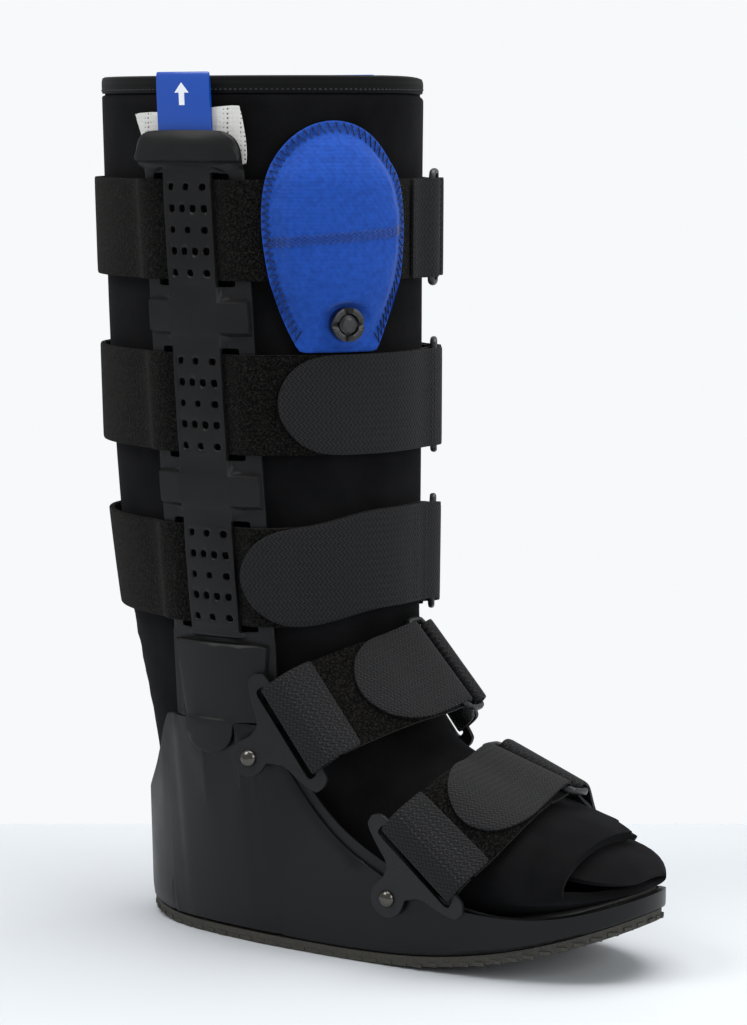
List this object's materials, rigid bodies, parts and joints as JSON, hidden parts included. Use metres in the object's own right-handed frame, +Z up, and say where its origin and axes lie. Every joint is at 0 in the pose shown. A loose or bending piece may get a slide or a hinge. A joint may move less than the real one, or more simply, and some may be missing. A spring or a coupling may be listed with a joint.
{
  "type": "air walker boot",
  "caption": "Tall walker boot with rigid rocker shell, two uprights, open-toe padded liner, hook straps on rings and a pump pouch with a valve.",
  "frame": {"origin": "on the floor under the uprights, in the middle of the boot's width", "axes": "+X to the toe, +Y to the far side (the near side, -Y, carries the pump pouch), +Z up"},
  "size_m": [0.3251, 0.1592, 0.4342],
  "materials": {
    "black_cloth": "brushed knit over foam",
    "black_tape": "smooth sewn tape",
    "loop_pile": "fuzzy loop pile",
    "webbing": "woven hook strap",
    "ring_plastic": "satin moulded",
    "moulded_plastic": "fine grain moulded",
    "sole_rubber": "matt",
    "foam": "soft closed-cell foam",
    "dark_metal": "dark satin coat",
    "rivet_metal": "polished dome",
    "blue_neoprene": "matt knit over neoprene",
    "blue_film": "glossy film",
    "white_mesh": "perforated white cloth"
  },
  "bodies": {
    "boot": {"boot_shell": "moulded_plastic", "calf_band_1": "loop_pile", "calf_band_2": "loop_pile", "calf_band_3": "loop_pile", "calf_loop_1": "webbing", "calf_loop_2": "webbing", "calf_loop_3": "webbing", "calf_ring_1": "ring_plastic", "calf_ring_2": "ring_plastic", "calf_ring_3": "ring_plastic", "calf_tab_1": "webbing", "calf_tab_2": "webbing", "calf_tab_3": "webbing", "footbed": "foam", "forefoot_band": "loop_pile", "forefoot_loop_far": "webbing", "forefoot_loop_near": "webbing", "forefoot_ring": "ring_plastic", "forefoot_tab": "webbing", "front_binding": "black_tape", "instep_band": "loop_pile", "instep_loop_far": "webbing", "instep_loop_near": "webbing", "instep_ring": "ring_plastic", "instep_tab": "webbing", "liner_body": "black_cloth", "mesh_sleeve_far": "white_mesh", "mesh_sleeve_near": "white_mesh", "pull_tab_far": "blue_film", "pull_tab_near": "blue_film", "pump_pouch": "blue_neoprene", "rivet_1_far": "rivet_metal", "rivet_1_near": "rivet_metal", "rivet_2_far": "rivet_metal", "rivet_2_near": "rivet_metal", "swivel_plate_1_far": "dark_metal", "swivel_plate_1_near": "dark_metal", "swivel_plate_2_far": "dark_metal", "swivel_plate_2_near": "dark_metal", "top_binding": "black_tape", "tread_sole": "sole_rubber", "upright_far": "moulded_plastic", "upright_near": "moulded_plastic", "valve_ring": "moulded_plastic"},
    "valve_button": {"valve_button": "moulded_plastic"}
  },
  "joints": [
    {"name": "valve_press", "type": "slide", "parent": "boot", "child": "valve_button", "axis": [-0.8272, 0.5619, 0], "range_m": [0, 0.0015], "stiffness_N_per_m": 200}
  ]
}
